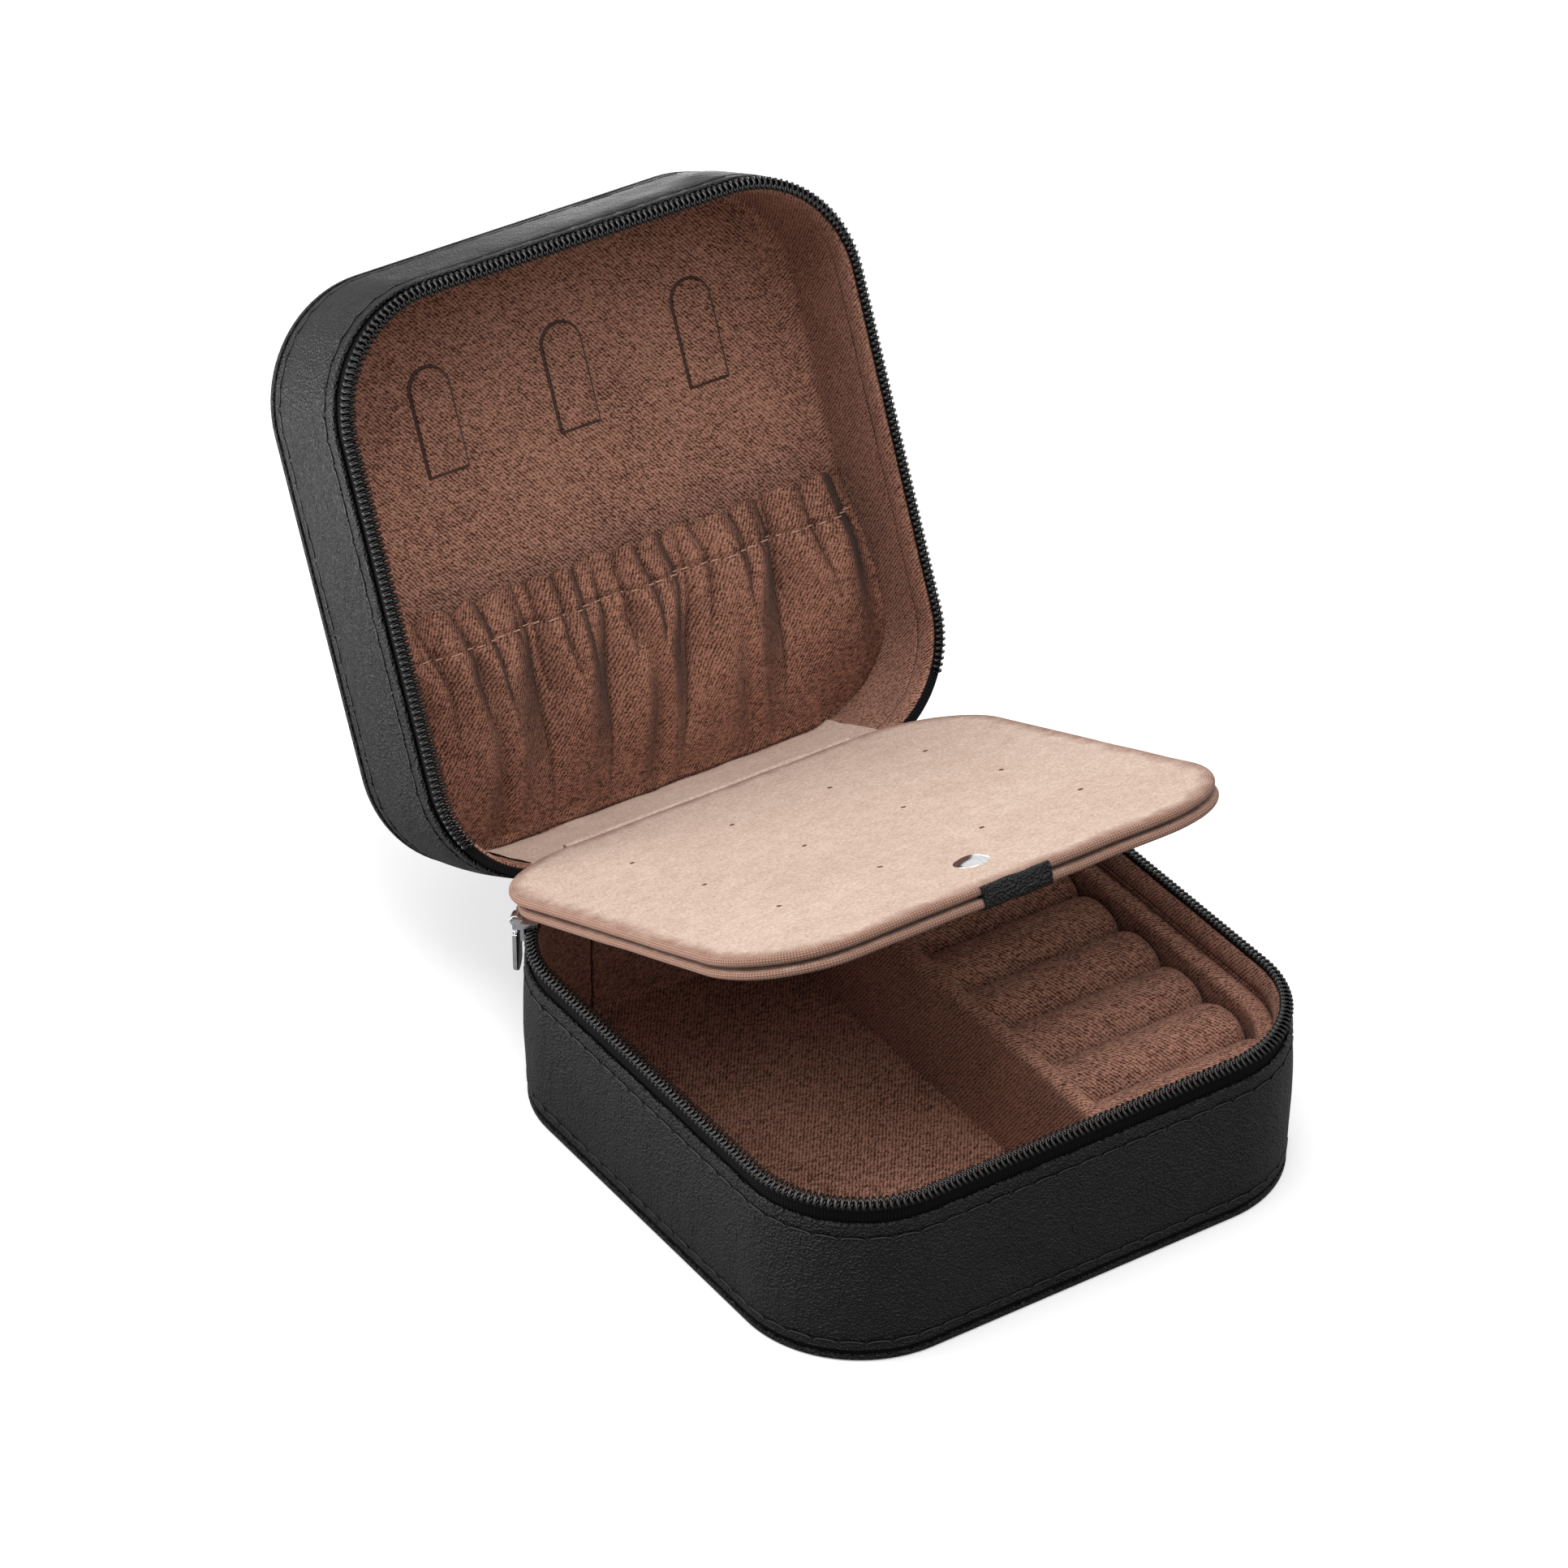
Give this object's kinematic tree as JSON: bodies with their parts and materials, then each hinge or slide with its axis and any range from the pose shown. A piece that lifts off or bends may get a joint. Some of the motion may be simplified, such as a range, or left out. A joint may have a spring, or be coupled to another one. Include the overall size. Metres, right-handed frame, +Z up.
{
  "type": "travel jewelry box",
  "caption": "Zip-round soft jewelry box, lid open: divided base with ring rolls, hinged earring flap with snap, necklace hooks and an elastic pocket.",
  "frame": {"origin": "centre of the flat underside, on the surface it stands on", "axes": "X along the lid hinge, -Y to the front, +Y to the hinge side, +Z up"},
  "size_m": [0.1, 0.1687, 0.1203],
  "materials": {
    "black_leather": "fine pebble grain, satin",
    "zipper_tape": "woven, matt",
    "zipper_coil": "glossy",
    "brown_lining": "brushed, fine twill",
    "beige_suede": "brushed suede",
    "stiffening_board": "plain board",
    "metal": "polished"
  },
  "bodies": {
    "case": {"base_bottom_leather": "black_leather", "base_welt": "zipper_tape", "base_side_leather": "black_leather", "base_bottom_board": "stiffening_board", "base_side_core": "stiffening_board", "base_wall_lining": "brown_lining", "base_floor_pad": "brown_lining", "base_rim_lip": "brown_lining", "base_zipper_tape": "zipper_tape", "base_zipper_coil": "zipper_coil", "hinge_spine_base": "black_leather", "divider": "brown_lining", "ring_rolls": "brown_lining", "tray_ledge": "brown_lining"},
    "lid": {"lid_top_leather": "black_leather", "lid_welt": "zipper_tape", "lid_side_leather": "black_leather", "lid_top_board": "stiffening_board", "lid_side_core": "stiffening_board", "lid_wall_lining": "brown_lining", "lid_back_pad": "brown_lining", "lid_rim_lip": "brown_lining", "lid_zipper_tape": "zipper_tape", "lid_zipper_coil": "zipper_coil", "hinge_spine_lid": "black_leather", "flap_hinge_band": "brown_lining", "elastic_pocket": "brown_lining", "pocket_elastic": "brown_lining"},
    "backing_board": {"flap_hinge_strip": "brown_lining", "backing_board_core": "stiffening_board", "backing_board_cover": "beige_suede", "snap_stud": "metal", "pull_tab": "black_leather"},
    "earring_board": {"earring_board_core": "stiffening_board", "earring_board_cover": "beige_suede", "snap_cap": "metal", "snap_socket": "metal"},
    "hook_left": {"necklace_hook_left": "brown_lining"},
    "hook_middle": {"necklace_hook_middle": "brown_lining"},
    "hook_right": {"necklace_hook_right": "brown_lining"},
    "slider": {"zipper_slider": "metal"},
    "pull": {"zipper_pull": "metal"}
  },
  "joints": [
    {"name": "lid_hinge", "type": "hinge", "parent": "case", "child": "lid", "pos_m": [0, 0.0509, 0.0288], "axis": [-1, 0, 0], "range_deg": [-114, 0]},
    {"name": "flap_hinge", "type": "hinge", "parent": "lid", "child": "backing_board", "pos_m": [0, 0.05784, 0.03036], "axis": [-1, 0, 0], "range_deg": [0, 92]},
    {"name": "earring_board_hinge", "type": "hinge", "parent": "backing_board", "child": "earring_board", "pos_m": [0, 0.05784, 0.03036], "axis": [-1, 0, 0], "range_deg": [0, 60]},
    {"name": "necklace_hook_left_hinge", "type": "hinge", "parent": "lid", "child": "hook_left", "pos_m": [-0.0226, 0.10058, 0.07904], "axis": [1, 0, 0], "range_deg": [0, 30], "stiffness_Nm_per_rad": 0.0004},
    {"name": "necklace_hook_middle_hinge", "type": "hinge", "parent": "lid", "child": "hook_middle", "pos_m": [0.0029, 0.10058, 0.07904], "axis": [1, 0, 0], "range_deg": [0, 30], "stiffness_Nm_per_rad": 0.0004},
    {"name": "necklace_hook_right_hinge", "type": "hinge", "parent": "lid", "child": "hook_right", "pos_m": [0.0284, 0.10058, 0.07904], "axis": [1, 0, 0], "range_deg": [0, 30], "stiffness_Nm_per_rad": 0.0004},
    {"name": "slider_travel", "type": "hinge", "parent": "case", "child": "slider", "pos_m": [-0.029, 0.0295, 0.029], "axis": [0, 0, 1], "range_deg": [0, 28]},
    {"name": "pull_swing", "type": "hinge", "parent": "slider", "child": "pull", "pos_m": [-0.04526, 0.0452, 0.03105], "axis": [0.6947, 0.7193, 0], "range_deg": [0, 75]}
  ],
  "couplings": [
    {"joint": "flap_hinge", "follows": "lid_hinge", "ratio": -0.807}
  ]
}
